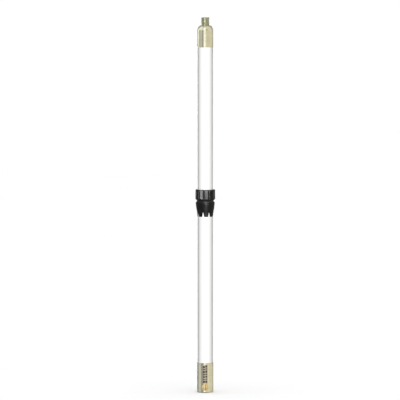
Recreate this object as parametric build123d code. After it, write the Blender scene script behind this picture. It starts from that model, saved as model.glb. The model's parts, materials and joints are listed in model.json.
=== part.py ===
from build123d import *

import os
from math import cos, hypot, radians, sin

# Fibreglass omnidirectional antenna: a base ferrule with a recessed coax socket, a tube with a tuning collar,
# and a top ferrule with a threaded stud that takes the next section.
#
# The antenna stands along +Z. The origin is the centre of the base ferrule's lower face. -Y is the front, the
# side that carries the earth screw. Lengths are in millimetres. A heading is an angle in degrees from the front
# towards +X. Every screw thread is a plain cylinder of its major radius.

# --- driving dimensions: outside ---
TUBE_R = 12.7  # 1 inch tube
TUBE_WALL = 2.2

BASE_R = 13.6
BASE_H = 50.5
RECESS_R = 10.8  # leaves room for a plug's coupling nut
RECESS_H = 16.5
SEAT_R = 12.0  # holds the socket's flange and the clamp ring
TUBE_SEAT_Z = 27.0
SEAL_T = 1.0

COLLAR_Z = 297.6
COLLAR_R = 16.64
LOCK_RING_H = 26.2
LOCK_WASHER_T = 1.4
TUNING_RING_H = 18.0
RING_GROOVE_R = 14.2  # foot of the V groove between the two rings
THREAD_R = 13.6  # thread of the sleeve that the rings turn on
KEYWAY_W = 4.0
SLEEVE_ABOVE_COLLAR = 12.4
SLEEVE_BELOW_TOP = 8.7
LIP_T = 1.9
SNAP_RING_T = 0.8
WIPER_R = 13.15  # centre line of the O-ring's section
WIPER_WIRE_R = 0.38

TOP_Z = 583.6
TOP_R = 13.2
TOP_H = 36.5
TOP_HEAD_H = 15.1  # solid head above the tube
SHOULDER_H = 8.5
SHOULDER_TOP_R = 8.5
STUD_R = 7.0  # M14
STUD_H = 13.6
SHANK_R = 6.3  # plain part of the stud, inside the head
SET_SCREW_R = 1.5  # M3
SET_SCREW_Z = 613.4
SET_SCREW_HEADING = 10.0

EARTH_SCREW_R = 2.5  # M5
EARTH_SCREW_Z = 9.3
EARTH_FLAT = 12.25  # distance of the screw's spot face from the axis
EARTH_WASHER_R = 5.5
EARTH_WASHER_T = 0.7

# --- driving dimensions: coax socket ---
SOCKET_R = 7.94  # 5/8 inch coupling thread
SOCKET_MOUTH_Z = 5.0
GASKET_T = 0.8
FLANGE_T = 2.5
REAR_R = 6.0  # rear barrel
REAR_TOP_Z = 31.5
INSULATOR_R = 5.55
INSULATOR_TOP_Z = 33.0
CONTACT_R = 2.4
CONTACT_TOP_Z = 39.0
PLUG_PIN_R = 2.0
PLUG_PIN_DEPTH = 13.0
CUP_DEPTH = 4.0
TAG_T = 0.5
SHAKEPROOF_T = 0.6

# --- driving dimensions: inside the tube ---
COAX_R = 2.5
BRAID_R = 1.85
DIELECTRIC_R = 1.45
CONDUCTOR_R = 0.45
COAX_Z = 46.0
COAX_TOP_Z = 252.0
CRIMP_R = 4.2
CRIMP_H = 4.0
LOWER_CRIMP_Z = 47.5
UPPER_CRIMP_TOP_Z = 243.0
CAPACITOR_R = 3.2
CAPACITOR_Z = 262.0
CAPACITOR_H = 14.0
FORMER_R = 8.2
FORMER_Z = 286.0
FORMER_TOP_Z = 352.0
FORMER_FLANGE_T = 3.0
COIL_WIRE_R = 0.8
COIL_PITCH = 3.2
COIL_TURNS = 16
COIL_Z = 292.0
LEAD_R = 0.6
LEAD_BEND = 2.0
ROD_R = 1.5
ROD_COLLAR_R = 2.6
ROD_SOCKET_DEPTH = 8.0
SPACER_H = 8.0
COAX_SPACERS_Z = (80.0, 135.0, 190.0)
ROD_SPACERS_Z = (400.0, 450.0, 500.0, 550.0)

# --- fits, as radial clearances ---
BOND_GAP = 0.05  # adhesive or thread allowance between fixed pieces
CLOSE_GAP = 0.02  # pieces that touch
RUN_GAP = 0.1  # pieces that slide or turn on each other

# --- values that follow ---
BORE_R = TUBE_R - TUBE_WALL
LOOSE_R = BORE_R - RUN_GAP  # largest piece that drops into the tube
TUBE_BOND_R = TUBE_R + BOND_GAP
TUBE_RUN_R = TUBE_R + RUN_GAP
RING_BORE_R = THREAD_R + RUN_GAP

FLANGE_Z = RECESS_H + GASKET_T
CLAMP_Z = FLANGE_Z + FLANGE_T
CLAMP_TOP_Z = TUBE_SEAT_Z - SEAL_T
TAG_TOP_Z = CLAMP_TOP_Z + TAG_T
NUT_Z = TAG_TOP_Z + SHAKEPROOF_T

LOCK_TOP_Z = COLLAR_Z + LOCK_RING_H
TUNING_Z = LOCK_TOP_Z + LOCK_WASHER_T
COLLAR_TOP_Z = TUNING_Z + TUNING_RING_H
SLEEVE_Z = COLLAR_Z + SLEEVE_ABOVE_COLLAR
SLEEVE_TOP_Z = COLLAR_TOP_Z - SLEEVE_BELOW_TOP
LIP_Z = COLLAR_TOP_Z - LIP_T
WIPER_Z = LIP_Z + LIP_T / 2
SNAP_RING_Z = SLEEVE_TOP_Z + 0.4
SNAP_RING_TOP_Z = SNAP_RING_Z + SNAP_RING_T
TONGUE_W = KEYWAY_W - 4 * RUN_GAP

TOP_FACE_Z = TOP_Z + TOP_H
HEAD_Z = TOP_FACE_Z - TOP_HEAD_H
TUBE_TOP_Z = HEAD_Z - SEAL_T
STUD_Z = TUBE_TOP_Z - 5.0
STUD_TOP_Z = TOP_FACE_Z + STUD_H

COIL_R = FORMER_R + COIL_WIRE_R + BOND_GAP
COIL_TOP_Z = COIL_Z + COIL_PITCH * COIL_TURNS
COIL_END_GAP = COIL_WIRE_R + 0.1  # from a turn's centre line to the end of a lead soldered to it
CAPACITOR_TOP_Z = CAPACITOR_Z + CAPACITOR_H
CRIMP_WALL_R = (COAX_R + CRIMP_R) / 2

UP = (Align.CENTER, Align.CENTER, Align.MIN)


# --- helpers ---
def rod(radius, z0, z1):
    """Solid cylinder on the antenna's axis."""
    return Pos(0, 0, z0) * Cylinder(radius, z1 - z0, align=UP)


def ring(outer, inner, z0, z1):
    """Plain ring on the antenna's axis."""
    return rod(outer, z0, z1) - rod(inner, z0, z1)


def turned(*corners):
    """Solid of revolution from (radius, z) corners."""
    return revolve(Plane.XZ * make_face(Polyline(*corners, close=True)), axis=Axis.Z)


def outwards(heading, radius, z):
    """Plane on the antenna's side: its z axis points out of the antenna and its y axis up."""
    a = radians(heading)
    out = Vector(sin(a), -cos(a), 0)
    return Plane(origin=out * radius + Vector(0, 0, z), x_dir=(cos(a), sin(a), 0), z_dir=out)


def headings(count, first):
    """Headings of evenly spaced features."""
    return [first + 360 / count * i for i in range(count)]


def bent_wire(radius, bend, *points):
    """Round wire along straight runs with rounded corners."""
    path = FilletPolyline(*points, radius=bend)
    return sweep(Plane(origin=path @ 0, z_dir=path % 0) * Circle(radius), path=path)


# --- base ferrule and earth terminal ---
def base_ferrule():
    foot_chamfer, mouth_chamfer, top_chamfer = 1.2, 0.5, 0.4
    body = turned(
        (RECESS_R + mouth_chamfer, 0),
        (BASE_R - foot_chamfer, 0),
        (BASE_R, foot_chamfer),
        (BASE_R, BASE_H - top_chamfer),
        (BASE_R - top_chamfer, BASE_H),
        (TUBE_BOND_R, BASE_H),
        (TUBE_BOND_R, CLAMP_TOP_Z),
        (SEAT_R, CLAMP_TOP_Z),
        (SEAT_R, RECESS_H),
        (RECESS_R, RECESS_H),
        (RECESS_R, mouth_chamfer),
    )
    at = outwards(0, EARTH_FLAT, EARTH_SCREW_Z)
    spot_face = at * Cylinder(EARTH_WASHER_R + 0.3, BASE_R, align=UP)
    screw_hole = at * Cylinder(EARTH_SCREW_R + CLOSE_GAP, BASE_R)
    return body - spot_face - screw_hole


def earth_washer():
    disc = Cylinder(EARTH_WASHER_R, EARTH_WASHER_T, align=UP)
    disc -= Cylinder(EARTH_SCREW_R + RUN_GAP, 2 * EARTH_WASHER_T)
    rim = disc.edges().group_by(Axis.Z)[-1].sort_by(SortBy.RADIUS)[-1]
    return outwards(0, EARTH_FLAT, EARTH_SCREW_Z) * chamfer(rim, 0.2)


def earth_screw():
    """Slotted cheese-head screw with a slightly domed head; the slot stands upright."""
    head_r, head_h, dome_h, slot_w, slot_depth = 4.75, 1.4, 0.8, 1.2, 1.2
    dome_r = hypot(head_r, dome_h) ** 2 / (2 * dome_h)
    top = head_h + dome_h
    head = Cylinder(head_r, top, align=UP) & Pos(0, 0, top - dome_r) * Sphere(dome_r)
    slot = Pos(0, 0, top - slot_depth) * Box(slot_w, 3 * head_r, slot_depth, align=UP)
    shank_length = EARTH_FLAT + EARTH_WASHER_T - RECESS_R - 0.15
    shank = Pos(0, 0, -shank_length) * Cylinder(EARTH_SCREW_R, shank_length, align=UP)
    return outwards(0, EARTH_FLAT + EARTH_WASHER_T, EARTH_SCREW_Z) * (head + shank - slot)


# --- coax socket ---
def socket_body():
    """Shell with a coupling thread that faces down, a round flange and a rear barrel for the nut."""
    rim_chamfer, notch_w, notch_depth, notch_h = 0.5, 1.6, 1.0, 4.0
    bore_r = INSULATOR_R + BOND_GAP
    flange_r = SEAT_R - BOND_GAP
    shell = turned(
        (bore_r, SOCKET_MOUTH_Z),
        (SOCKET_R - rim_chamfer, SOCKET_MOUTH_Z),
        (SOCKET_R, SOCKET_MOUTH_Z + rim_chamfer),
        (SOCKET_R, FLANGE_Z),
        (flange_r, FLANGE_Z),
        (flange_r, CLAMP_Z),
        (REAR_R, CLAMP_Z),
        (REAR_R, REAR_TOP_Z),
        (bore_r, REAR_TOP_Z),
    )
    notch = Box(notch_w, 2 * notch_h, 2 * notch_depth)
    for heading in headings(4, 45):
        shell -= outwards(heading, SOCKET_R, SOCKET_MOUTH_Z) * notch
    return shell


def socket_gasket():
    return ring(SEAT_R - BOND_GAP, RECESS_R, RECESS_H, FLANGE_Z)


def socket_insulator():
    face_z, face_chamfer = SOCKET_MOUTH_Z + 1.5, 0.6
    return turned(
        (CONTACT_R + CLOSE_GAP, face_z),
        (INSULATOR_R - face_chamfer, face_z),
        (INSULATOR_R, face_z + face_chamfer),
        (INSULATOR_R, INSULATOR_TOP_Z),
        (CONTACT_R + CLOSE_GAP, INSULATOR_TOP_Z),
    )


def socket_contact():
    """Centre contact: a slit socket for the plug's pin below, and a solder cup above."""
    cup_outer_r, cup_r, slit_w, slit_h = 1.8, 1.05, 0.4, 6.0
    mouth_z = SOCKET_MOUTH_Z + 2.0
    contact = rod(CONTACT_R, mouth_z, INSULATOR_TOP_Z) + rod(cup_outer_r, INSULATOR_TOP_Z, CONTACT_TOP_Z)
    contact -= rod(PLUG_PIN_R, mouth_z, mouth_z + PLUG_PIN_DEPTH)
    contact -= rod(cup_r, CONTACT_TOP_Z - CUP_DEPTH, CONTACT_TOP_Z)
    slit = Pos(0, 0, mouth_z) * Box(slit_w, 3 * CONTACT_R, slit_h, align=UP)
    return contact - slit - Rot(0, 0, 90) * slit


def socket_clamp_ring():
    """Threaded ring inside the ferrule that holds the socket's flange on its gasket."""
    hole_x, hole_r, hole_depth = 9.6, 1.0, 3.0
    body = ring(SEAT_R - CLOSE_GAP, REAR_R + RUN_GAP, CLAMP_Z, CLAMP_TOP_Z)
    for x in (-hole_x, hole_x):  # for a pin spanner
        body -= Pos(x, 0, CLAMP_TOP_Z - hole_depth) * Cylinder(hole_r, hole_depth, align=UP)
    return body


def earth_tag():
    """Ring terminal on the rear barrel, with a tongue bent up for the coax braid."""
    eye_r, tongue_x, tongue_w, tongue_h, hole_r = 8.2, 9.35, 3.2, 9.0, 0.8
    eye = rod(eye_r, CLAMP_TOP_Z, TAG_TOP_Z)
    arm = Pos(tongue_x / 2, 0, CLAMP_TOP_Z) * Box(tongue_x, tongue_w, TAG_T, align=UP)
    tongue = Pos(tongue_x, 0, CLAMP_TOP_Z) * Box(TAG_T, tongue_w, tongue_h, align=UP)
    wire_hole = Pos(tongue_x, 0, TAG_TOP_Z + 2 * tongue_w) * Rot(0, 90, 0) * Cylinder(hole_r, 4 * TAG_T)
    return eye + arm + tongue - wire_hole - rod(REAR_R + RUN_GAP, CLAMP_TOP_Z, TAG_TOP_Z)


def socket_lock_washer():
    """Toothed shakeproof washer under the nut."""
    outer_r, gap_w, gap_depth = 8.0, 1.2, 1.0
    body = ring(outer_r, REAR_R + RUN_GAP, TAG_TOP_Z, NUT_Z)
    for heading in headings(10, 0):
        body -= outwards(heading, outer_r, TAG_TOP_Z) * Box(gap_w, 4 * SHAKEPROOF_T, 2 * gap_depth)
    return body


def socket_nut():
    across_flats, height, corner_r, corner_chamfer = 16.0, 3.2, 8.9, 0.5
    hexagon = extrude(RegularPolygon(across_flats / 2, 6, major_radius=False, rotation=30), height)
    disc = Cylinder(corner_r, height, align=UP)
    blank = hexagon & chamfer(disc.edges().filter_by(GeomType.CIRCLE), corner_chamfer)
    return Pos(0, 0, NUT_Z) * (blank - Cylinder(REAR_R + CLOSE_GAP, 3 * height))


# --- feed line ---
def coax_jacket():
    return ring(COAX_R, BRAID_R + CLOSE_GAP, COAX_Z, COAX_TOP_Z - 8)


def coax_braid():
    return ring(BRAID_R, DIELECTRIC_R + CLOSE_GAP, COAX_Z - 1, COAX_TOP_Z - 7)


def coax_dielectric():
    return ring(DIELECTRIC_R, CONDUCTOR_R + CLOSE_GAP, COAX_Z - 3, COAX_TOP_Z - 3)


def coax_conductor():
    return rod(CONDUCTOR_R, CONTACT_TOP_Z - CUP_DEPTH, COAX_TOP_Z)


def lower_braid_crimp():
    return ring(CRIMP_R, COAX_R + CLOSE_GAP, LOWER_CRIMP_Z, LOWER_CRIMP_Z + CRIMP_H)


def upper_braid_crimp():
    return ring(CRIMP_R, COAX_R + CLOSE_GAP, UPPER_CRIMP_TOP_Z - CRIMP_H, UPPER_CRIMP_TOP_Z)


def braid_tail():
    """Flexible tail from the lower crimp down to the earth tag's tongue."""
    tail_r, tag_x = 0.75, 8.3
    return bent_wire(
        tail_r,
        LEAD_BEND,
        (CRIMP_WALL_R, 0, LOWER_CRIMP_Z),
        (CRIMP_WALL_R, 0, LOWER_CRIMP_Z - 4),
        (tag_x, 0, LOWER_CRIMP_Z - 9),
        (tag_x, 0, LOWER_CRIMP_Z - 15),
    )


# --- matching network and radiator ---
def capacitor():
    body = rod(CAPACITOR_R, CAPACITOR_Z, CAPACITOR_TOP_Z)
    return fillet(body.edges().filter_by(GeomType.CIRCLE), 1.0)


def capacitor_lead():
    """Solder cap on the end of the coax conductor, and the lead up to the capacitor."""
    cap_r, cap_skirt, cap_top = 1.0, 3.0, 1.0
    skirt = ring(cap_r, CONDUCTOR_R + CLOSE_GAP, COAX_TOP_Z - cap_skirt, COAX_TOP_Z)
    return skirt + rod(cap_r, COAX_TOP_Z, COAX_TOP_Z + cap_top) + rod(LEAD_R, COAX_TOP_Z, CAPACITOR_Z)


def coil_former():
    """Bobbin bonded in the tube, hollow from below, with a seat for the radiator rod on top."""
    hole_r, hollow_r, web_t = LEAD_R + 0.35, 5.6, 12.0
    upper_flange_z = FORMER_TOP_Z - FORMER_FLANGE_T
    body = rod(FORMER_R, FORMER_Z, FORMER_TOP_Z)
    body += rod(LOOSE_R, FORMER_Z, FORMER_Z + FORMER_FLANGE_T)
    body += rod(LOOSE_R, upper_flange_z, FORMER_TOP_Z)
    body -= rod(hollow_r, FORMER_Z, FORMER_TOP_Z - web_t)
    body -= rod(ROD_R + CLOSE_GAP, FORMER_TOP_Z - ROD_SOCKET_DEPTH, FORMER_TOP_Z)
    for x, z in ((COIL_R, FORMER_Z), (-COIL_R, FORMER_Z), (COIL_R, upper_flange_z)):  # for the coil's leads
        body -= Pos(x, 0, z) * Cylinder(hole_r, 3 * FORMER_FLANGE_T)
    return body


def matching_coil():
    path = Helix(pitch=COIL_PITCH, height=COIL_PITCH * COIL_TURNS, radius=COIL_R)
    section = Plane(origin=path @ 0, z_dir=path % 0) * Circle(COIL_WIRE_R)
    return Pos(0, 0, COIL_Z) * sweep(section, path=path, is_frenet=True)


def coil_tap_lead():
    """From the capacitor, through the bobbin's lower flange, to the coil's first half turn."""
    z = CAPACITOR_TOP_Z + 4
    return bent_wire(
        LEAD_R,
        LEAD_BEND,
        (0, 0, CAPACITOR_TOP_Z),
        (0, 0, z),
        (-COIL_R, 0, z),
        (-COIL_R, 0, COIL_Z + COIL_PITCH / 2 - COIL_END_GAP),
    )


def coil_earth_lead():
    """From the upper crimp, past the capacitor, to the start of the coil."""
    return bent_wire(
        LEAD_R,
        LEAD_BEND,
        (CRIMP_WALL_R, 0, UPPER_CRIMP_TOP_Z),
        (CRIMP_WALL_R, 0, UPPER_CRIMP_TOP_Z + 5),
        (COIL_R, 0, COAX_TOP_Z + 3),
        (COIL_R, 0, COIL_Z - COIL_END_GAP),
    )


def coil_top_lead():
    """From the end of the coil, through the bobbin's upper flange, to the rod's collar."""
    z = FORMER_TOP_Z + 4
    return bent_wire(
        LEAD_R,
        LEAD_BEND,
        (COIL_R, 0, COIL_TOP_Z + COIL_END_GAP),
        (COIL_R, 0, z),
        (ROD_COLLAR_R, 0, z),
    )


def rod_collar():
    """Solder ferrule on the foot of the radiator rod."""
    return ring(ROD_COLLAR_R, ROD_R + CLOSE_GAP, FORMER_TOP_Z + 1.5, FORMER_TOP_Z + 6.5)


def radiator_rod():
    return rod(ROD_R, FORMER_TOP_Z - ROD_SOCKET_DEPTH, STUD_Z + ROD_SOCKET_DEPTH)


def spacer(held_r, z):
    """Foam disc that keeps the coax or the rod in the middle of the tube."""
    return ring(LOOSE_R, held_r + RUN_GAP, z, z + SPACER_H)


# --- tube ---
def radome_tube():
    return ring(TUBE_R, BORE_R, TUBE_SEAT_Z, TUBE_TOP_Z)


def tube_seal(z):
    """Flat rubber ring at one end of the tube."""
    return ring(TUBE_R - 0.2, BORE_R + 0.2, z, z + SEAL_T)


# --- tuning collar ---
def keyed(width):
    """Upright block on the keyway's centre plane, at the back, to cut a keyway or a tongue."""
    return Pos(0, THREAD_R, 0) * Box(width, THREAD_R, 3 * COLLAR_TOP_Z)


def threaded_sleeve():
    """Bonded on the tube for the rings to turn on. A keyway runs down its back."""
    return ring(THREAD_R, TUBE_R + CLOSE_GAP, SLEEVE_Z, SLEEVE_TOP_Z) - keyed(KEYWAY_W)


def tuning_band():
    """Metal band that tunes the coil. Its tongue runs in the keyway, so it slides and never turns."""
    tongue_r, tongue_h = TUBE_R + 0.55, 9.0
    z0, z1 = SNAP_RING_TOP_Z + RUN_GAP, LIP_Z - BOND_GAP
    band = ring(THREAD_R, TUBE_RUN_R, z0, z1)
    return band + (ring(tongue_r, TUBE_RUN_R, z0 - tongue_h, z1) & keyed(TONGUE_W))


def band_snap_ring():
    """Open wire ring in the tuning ring's groove; it holds the band under the lip."""
    gap_w = 3.0
    body = ring(RING_GROOVE_R - CLOSE_GAP, TUBE_R + 0.65, SNAP_RING_Z, SNAP_RING_TOP_Z)
    return body - Pos(-THREAD_R, 0, SNAP_RING_Z) * Box(THREAD_R, gap_w, SNAP_RING_T, align=UP)


def ring_wiper():
    """O-ring in the tuning ring's lip that keeps rain out of the collar."""
    return Pos(0, 0, WIPER_Z) * Torus(WIPER_R, WIPER_WIRE_R)


def tuning_ring():
    """Ring nut with twelve flat-topped grip ribs, a thread bore, a snap ring groove and a lip at the top."""
    rib_count, rib_heading, rib_w, rib_root_w, root_r = 12, -23, 5.1, 5.6, 15.7
    foot_chamfer_h, top_chamfer = 3.1, 0.4
    crest = (COLLAR_R**2 - (rib_w / 2) ** 2) ** 0.5
    rib = make_face(
        Polyline(
            (-rib_root_w / 2, 0),
            (-rib_root_w / 2, root_r),
            (-rib_w / 2, crest),
            (rib_w / 2, crest),
            (rib_root_w / 2, root_r),
            (rib_root_w / 2, 0),
            close=True,
        )
    )
    outline = Circle(root_r)
    for heading in headings(rib_count, rib_heading + 180):
        outline += Rot(0, 0, heading) * rib
    envelope = turned(
        (0, TUNING_Z),
        (RING_GROOVE_R, TUNING_Z),
        (COLLAR_R, TUNING_Z + foot_chamfer_h),
        (COLLAR_R, COLLAR_TOP_Z - top_chamfer),
        (COLLAR_R - top_chamfer, COLLAR_TOP_Z),
        (0, COLLAR_TOP_Z),
    )
    body = Pos(0, 0, TUNING_Z) * extrude(outline, TUNING_RING_H) & envelope
    body -= rod(TUBE_RUN_R, TUNING_Z, COLLAR_TOP_Z)
    body -= rod(RING_BORE_R, TUNING_Z, LIP_Z)
    body -= rod(RING_GROOVE_R, SNAP_RING_Z - CLOSE_GAP, SNAP_RING_TOP_Z + CLOSE_GAP)
    wiper_space = WIPER_WIRE_R + CLOSE_GAP
    return body - rod(WIPER_R + wiper_space, WIPER_Z - wiper_space, WIPER_Z + wiper_space)


def lock_washer():
    """Keyed washer between the rings, so that turning one never turns the other."""
    body = ring(RING_GROOVE_R, THREAD_R + RUN_GAP, LOCK_TOP_Z, TUNING_Z)
    return body + (ring(RING_GROOVE_R, TUBE_RUN_R, LOCK_TOP_Z, TUNING_Z) & keyed(TONGUE_W))


def finger_slit():
    """Upside-down V, a little wider at its foot, where it rounds the corners of the fingers."""
    height, top_r, waist_z, waist_r, round_z, round_r, foot_r = 7.6, 0.45, 2.2, 1.4, 0.65, 1.75, 2.8
    half = Polyline((0, height), (top_r * 0.7, height - top_r * 0.3), (top_r, height - top_r), (waist_r, waist_z))
    corner = ThreePointArc((waist_r, waist_z), (round_r, round_z), (foot_r, 0))
    foot = Polyline((foot_r, 0), (0, 0), (0, height))
    right = make_face(half + corner + foot)
    return extrude(right + mirror(right, about=Plane.YZ), COLLAR_R - TUBE_R)


def lock_ring():
    """Tapered ring nut whose lower edge is slit into eight rounded fingers around the tube."""
    slit_count, slit_heading = 8, -16.2
    tip_r, finger_r, neck_r, waist_r, belt_r = 13.1, 13.3, 13.95, 14.75, 15.75
    finger_z, neck_z, waist_z, belt_z = COLLAR_Z + 3.0, COLLAR_Z + 8.0, COLLAR_Z + 12.0, COLLAR_Z + 19.5
    shoulder_r, shoulder_h = COLLAR_R - 0.45, 2.4
    neck = ThreePointArc((finger_r, finger_z), (neck_r, neck_z), (waist_r, waist_z))
    rest = Polyline(
        (waist_r, waist_z),
        (belt_r, belt_z),
        (shoulder_r, LOCK_TOP_Z - shoulder_h),
        (RING_GROOVE_R, LOCK_TOP_Z),
        (TUBE_RUN_R, LOCK_TOP_Z),
        (TUBE_RUN_R, COLLAR_Z),
        (tip_r, COLLAR_Z),
        (finger_r, finger_z),
    )
    body = revolve(Plane.XZ * make_face(neck + rest), axis=Axis.Z)
    body -= rod(RING_BORE_R, SLEEVE_Z - 0.6, LOCK_TOP_Z)
    slit = finger_slit()
    for heading in headings(slit_count, slit_heading):
        body -= outwards(heading, TUBE_R - 1, COLLAR_Z) * slit
    return body


# --- top ferrule ---
def top_ferrule():
    """Cap on the tube's upper end: a sleeve, a solid head and a rounded shoulder around the stud."""
    shoulder_z, foot_chamfer = TOP_FACE_Z - SHOULDER_H, 0.3
    inset = TOP_R - SHOULDER_TOP_R
    curve_r = (inset**2 + SHOULDER_H**2) / (2 * inset)  # leaves the side without a corner
    halfway = SHOULDER_H / 2
    halfway_r = TOP_R - curve_r + (curve_r**2 - halfway**2) ** 0.5
    shoulder = ThreePointArc(
        (TOP_R, shoulder_z),
        (halfway_r, shoulder_z + halfway),
        (SHOULDER_TOP_R, TOP_FACE_Z),
    )
    rest = Polyline(
        (SHOULDER_TOP_R, TOP_FACE_Z),
        (SHANK_R + CLOSE_GAP, TOP_FACE_Z),
        (SHANK_R + CLOSE_GAP, HEAD_Z),
        (TUBE_BOND_R, HEAD_Z),
        (TUBE_BOND_R, TOP_Z),
        (TOP_R - foot_chamfer, TOP_Z),
        (TOP_R, TOP_Z + foot_chamfer),
        (TOP_R, shoulder_z),
    )
    body = revolve(Plane.XZ * make_face(shoulder + rest), axis=Axis.Z)
    screw_hole = Cylinder(SET_SCREW_R + CLOSE_GAP, TOP_R, align=UP)
    return body - outwards(SET_SCREW_HEADING, SHANK_R - 1, SET_SCREW_Z) * screw_hole


def stud_set_screw():
    """Headless screw with a hexagon socket that keeps the stud from turning in the head."""
    length, socket_r, socket_depth, tip_chamfer = 6.1, 0.75, 1.5, 0.25
    body = Cylinder(SET_SCREW_R, length, align=UP)
    body = chamfer(body.edges().group_by(Axis.Z)[-1], tip_chamfer)
    body -= Pos(0, 0, length - socket_depth) * extrude(RegularPolygon(socket_r, 6), socket_depth)
    return outwards(SET_SCREW_HEADING, SHANK_R + 2 * BOND_GAP, SET_SCREW_Z) * body


def joint_stud():
    """Stud for the next section: threaded above the head, plain inside it, with a blind hole for the radiator rod."""
    tip_chamfer, foot_chamfer, centre_r = 1.0, 0.8, 1.3
    hole_r, hole_top_z = ROD_R + CLOSE_GAP, STUD_Z + ROD_SOCKET_DEPTH + 1
    return turned(
        (hole_r, STUD_Z),
        (SHANK_R - foot_chamfer, STUD_Z),
        (SHANK_R, STUD_Z + foot_chamfer),
        (SHANK_R, TOP_FACE_Z),
        (STUD_R, TOP_FACE_Z),
        (STUD_R, STUD_TOP_Z - tip_chamfer),
        (STUD_R - tip_chamfer, STUD_TOP_Z),
        (centre_r, STUD_TOP_Z),
        (0, STUD_TOP_Z - centre_r),
        (0, hole_top_z),
        (hole_r, hole_top_z),
    )


# --- all pieces ---
SINGLE_PIECES = (
    base_ferrule,
    earth_washer,
    earth_screw,
    socket_body,
    socket_gasket,
    socket_insulator,
    socket_contact,
    socket_clamp_ring,
    earth_tag,
    socket_lock_washer,
    socket_nut,
    coax_jacket,
    coax_braid,
    coax_dielectric,
    coax_conductor,
    lower_braid_crimp,
    upper_braid_crimp,
    braid_tail,
    capacitor,
    capacitor_lead,
    coil_former,
    matching_coil,
    coil_tap_lead,
    coil_earth_lead,
    coil_top_lead,
    rod_collar,
    radiator_rod,
    radome_tube,
    threaded_sleeve,
    tuning_band,
    band_snap_ring,
    ring_wiper,
    tuning_ring,
    lock_washer,
    lock_ring,
    top_ferrule,
    stud_set_screw,
    joint_stud,
)


def all_pieces():
    """Every piece by its node name."""
    made = {make.__name__: make() for make in SINGLE_PIECES}
    made["lower_tube_seal"] = tube_seal(CLAMP_TOP_Z)
    made["upper_tube_seal"] = tube_seal(TUBE_TOP_Z)
    for number, z in enumerate(COAX_SPACERS_Z, start=1):
        made[f"coax_spacer_{number}"] = spacer(COAX_R, z)
    for number, z in enumerate(ROD_SPACERS_Z, start=1):
        made[f"rod_spacer_{number}"] = spacer(ROD_R, z)
    return made


os.makedirs("parts", exist_ok=True)
for name, shape in all_pieces().items():
    export_step(shape, f"parts/{name}.step")
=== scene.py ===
import json
from math import atan, ceil, cos, degrees, pi, radians, sin, sqrt, tau

import bmesh
import bpy
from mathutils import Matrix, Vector


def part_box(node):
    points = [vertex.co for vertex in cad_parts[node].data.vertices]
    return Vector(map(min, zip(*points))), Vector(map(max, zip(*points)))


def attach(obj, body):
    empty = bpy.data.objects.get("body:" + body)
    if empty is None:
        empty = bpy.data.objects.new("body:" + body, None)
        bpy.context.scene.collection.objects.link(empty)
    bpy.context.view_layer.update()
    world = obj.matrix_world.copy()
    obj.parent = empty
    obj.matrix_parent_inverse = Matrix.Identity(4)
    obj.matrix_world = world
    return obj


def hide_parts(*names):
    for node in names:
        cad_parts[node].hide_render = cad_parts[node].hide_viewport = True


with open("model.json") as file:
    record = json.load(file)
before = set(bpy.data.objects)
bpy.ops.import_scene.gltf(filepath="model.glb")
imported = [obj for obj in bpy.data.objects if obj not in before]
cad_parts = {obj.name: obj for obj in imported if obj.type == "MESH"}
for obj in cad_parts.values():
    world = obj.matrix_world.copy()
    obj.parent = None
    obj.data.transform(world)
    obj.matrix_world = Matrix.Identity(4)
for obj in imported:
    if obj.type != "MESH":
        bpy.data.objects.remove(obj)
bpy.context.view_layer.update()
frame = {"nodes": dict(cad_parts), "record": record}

# Lengths are in metres and a heading is an angle in degrees from the front (-Y) towards +X, as in the CAD.
MM = 0.001

# --- driving values: detail that the CAD states only as plain cylinders and sharp corners ---
STUD_PITCH = 2.0 * MM  # M14
STUD_THREAD_DEPTH = 1.1 * MM
STUD_SHANK_STEP = 0.7 * MM  # the plain part inside the ferrule is this much thinner
STUD_RUNOUT = 0.6 * MM
STUD_TIP_CHAMFER = 1.0 * MM
STUD_CENTRE_R = 1.3 * MM
SLEEVE_PITCH = 1.5 * MM
SLEEVE_THREAD_DEPTH = 0.6 * MM
SLEEVE_KEYWAY_W = 4.0 * MM
SOCKET_R = 7.94 * MM
SOCKET_PITCH = 25.4 * MM / 24  # 24 turns to the inch
SOCKET_THREAD_DEPTH = 0.6 * MM
SOCKET_REAR_R = 6.0 * MM
SOCKET_RIM = 0.25 * MM
SOCKET_NOTCH_HALF = 6.0  # degrees
SOCKET_NOTCH_H = 4.0 * MM
SOCKET_NOTCH_DEPTH = 1.0 * MM
SOCKET_TIP_CHAMFER = 0.5 * MM
FINE_GAP = 0.1 * MM  # between the rings and what they turn on
TOUCHING = 0.02 * MM  # gap or overlap of fixed pieces that touch

COLLAR_R = 16.64 * MM
RIB_COUNT = 12
RIB_HEADING = -23.0
RIB_W = 5.1 * MM
RIB_FOOT_W = 5.6 * MM
RIB_ROOT_R = 15.7 * MM
LIP_T = 1.9 * MM
TUNING_FOOT_CHAMFER_H = 2.3 * MM
TUNING_TOP_CHAMFER = 0.4 * MM
RIB_ROUNDING = 0.5  # degrees round the ring, and half as many mm up it
SLIT_COUNT = 8
SLIT_HEADING = -16.2
SLIT_TOP = 8.4 * MM  # the ring is whole above this height
FINGER_R = 13.2 * MM  # where the slits' widths are measured
FINGER_EDGE_DROP = 0.28 * MM  # rounding along the fingers' cut edges
FINGER_EDGE_H = 0.35 * MM
LOCK_COUNTERBORE_GAP = 0.6 * MM  # below the sleeve's foot
LOCK_ROUNDING = 0.3  # mm, where the outline changes slope
LOCK_PROFILE = (  # height above the foot and radius, mm
    (0, 13.1),
    (3.0, 13.3),
    (5.5, 13.56),
    (8.0, 13.95),
    (10.0, 14.32),
    (12.0, 14.75),
    (19.5, 15.75),
    (23.8, 16.19),
)
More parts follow.
